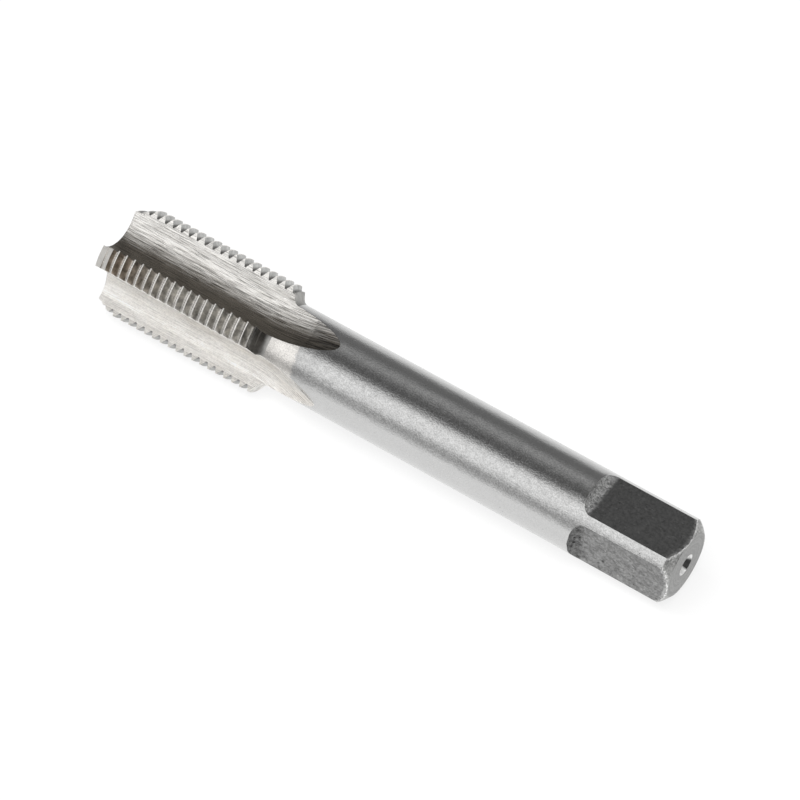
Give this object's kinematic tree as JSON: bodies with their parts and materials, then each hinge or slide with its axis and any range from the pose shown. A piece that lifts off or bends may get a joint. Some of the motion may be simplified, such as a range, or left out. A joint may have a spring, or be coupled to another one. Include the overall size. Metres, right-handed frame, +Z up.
{
  "type": "thread tap",
  "caption": "Straight-fluted hand tap for cutting an internal metric fine thread, with a short chamfered lead, round shank and square drive end.",
  "frame": {"origin": "middle of the footprint, on the surface the tap lies on", "axes": "+X from the cutting tip to the square end, +Z up; the tap lies at rest, so its own axis drops 0.73 degrees towards the square end"},
  "size_m": [0.1022, 0.015, 0.0154],
  "materials": {
    "tool_steel": "ground and milled tool steel, fine grain, bare"
  },
  "bodies": {
    "root": {"thread_tap": "tool_steel"}
  },
  "joints": []
}
